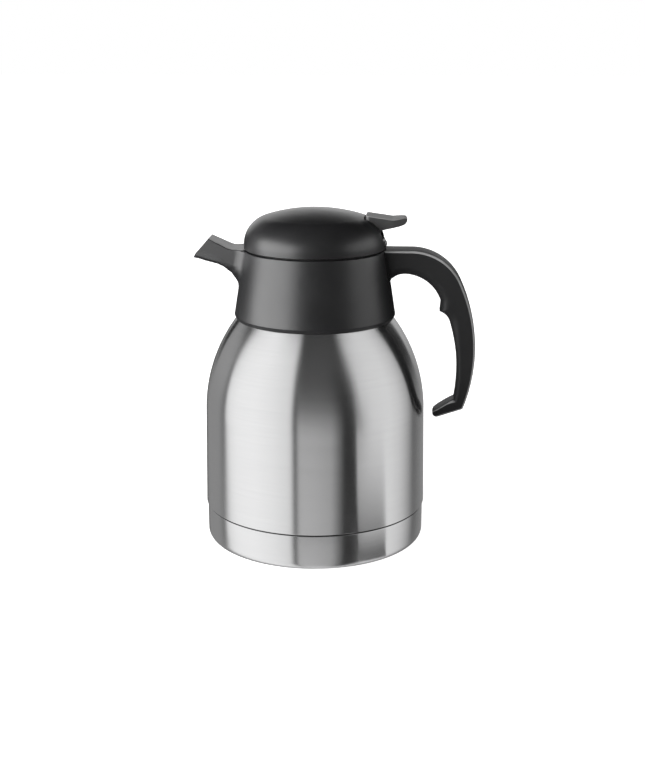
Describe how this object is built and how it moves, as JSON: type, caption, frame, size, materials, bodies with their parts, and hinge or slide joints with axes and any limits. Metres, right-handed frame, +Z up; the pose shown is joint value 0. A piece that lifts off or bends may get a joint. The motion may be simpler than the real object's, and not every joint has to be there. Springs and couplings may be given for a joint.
{
  "type": "insulated pouring jug",
  "caption": "Insulated steel jug with a moulded collar, beak spout, hooked side handle and screw-in domed lid. A thumb lever lifts a sprung valve for pouring.",
  "frame": {"origin": "middle of the foot, on the plane the jug stands on", "axes": "+Z up along the flask's axis, +X towards the handle, with the spout towards -X"},
  "size_m": [0.1737, 0.1382, 0.2077],
  "materials": {
    "brushed_steel": "brushed round the body",
    "liner_steel": "plain drawn steel",
    "solder_glass": "fused bead",
    "getter_metal": "sintered",
    "black_plastic": "satin moulded",
    "inner_plastic": "plain moulded",
    "valve_plastic": "plain moulded",
    "silicone": "matt",
    "lid_rubber": "matt",
    "small_steel": "bright drawn"
  },
  "bodies": {
    "jug": {"flask_barrel": "brushed_steel", "flask_liner": "liner_steel", "bottom_plate": "liner_steel", "seal_bead": "solder_glass", "getter": "getter_metal", "base_cup": "brushed_steel", "mouth_gasket": "silicone", "collar": "black_plastic", "throat_ring": "inner_plastic", "handle": "black_plastic", "handle_screws": "small_steel"},
    "stopper_seal": {"stopper_gasket": "silicone"},
    "lid": {"lid_dome": "black_plastic", "stopper": "inner_plastic", "lid_seal": "lid_rubber", "stem_seal": "silicone", "lever_pin": "small_steel", "valve_spring": "small_steel"},
    "lever": {"thumb_lever": "black_plastic"},
    "valve": {"valve_disc": "valve_plastic", "valve_gasket": "silicone", "valve_stem": "valve_plastic", "stem_cap": "valve_plastic"}
  },
  "joints": [
    {"name": "lid_rise", "type": "slide", "parent": "jug", "child": "stopper_seal", "axis": [0, 0, 1], "range_m": [0, 0.03]},
    {"name": "lid_turn", "type": "hinge", "parent": "stopper_seal", "child": "lid", "pos_m": [0, 0, 0.18], "axis": [0, 0, 1], "range_deg": [0, 720]},
    {"name": "lever_press", "type": "hinge", "parent": "lid", "child": "lever", "pos_m": [0.0365, 0, 0.19362], "axis": [0, 1, 0], "range_deg": [0, 12], "stiffness_Nm_per_rad": 0.5, "springref_deg": -11.46},
    {"name": "valve_lift", "type": "slide", "parent": "lid", "child": "valve", "axis": [0, 0, 1], "range_m": [0, 0.0085], "deforming": ["valve_spring"]}
  ],
  "couplings": [
    {"joint": "lid_rise", "follows": "lid_turn", "m_per_rad": 0.0023873},
    {"joint": "valve_lift", "follows": "lever_press", "m_per_rad": 0.0405}
  ]
}
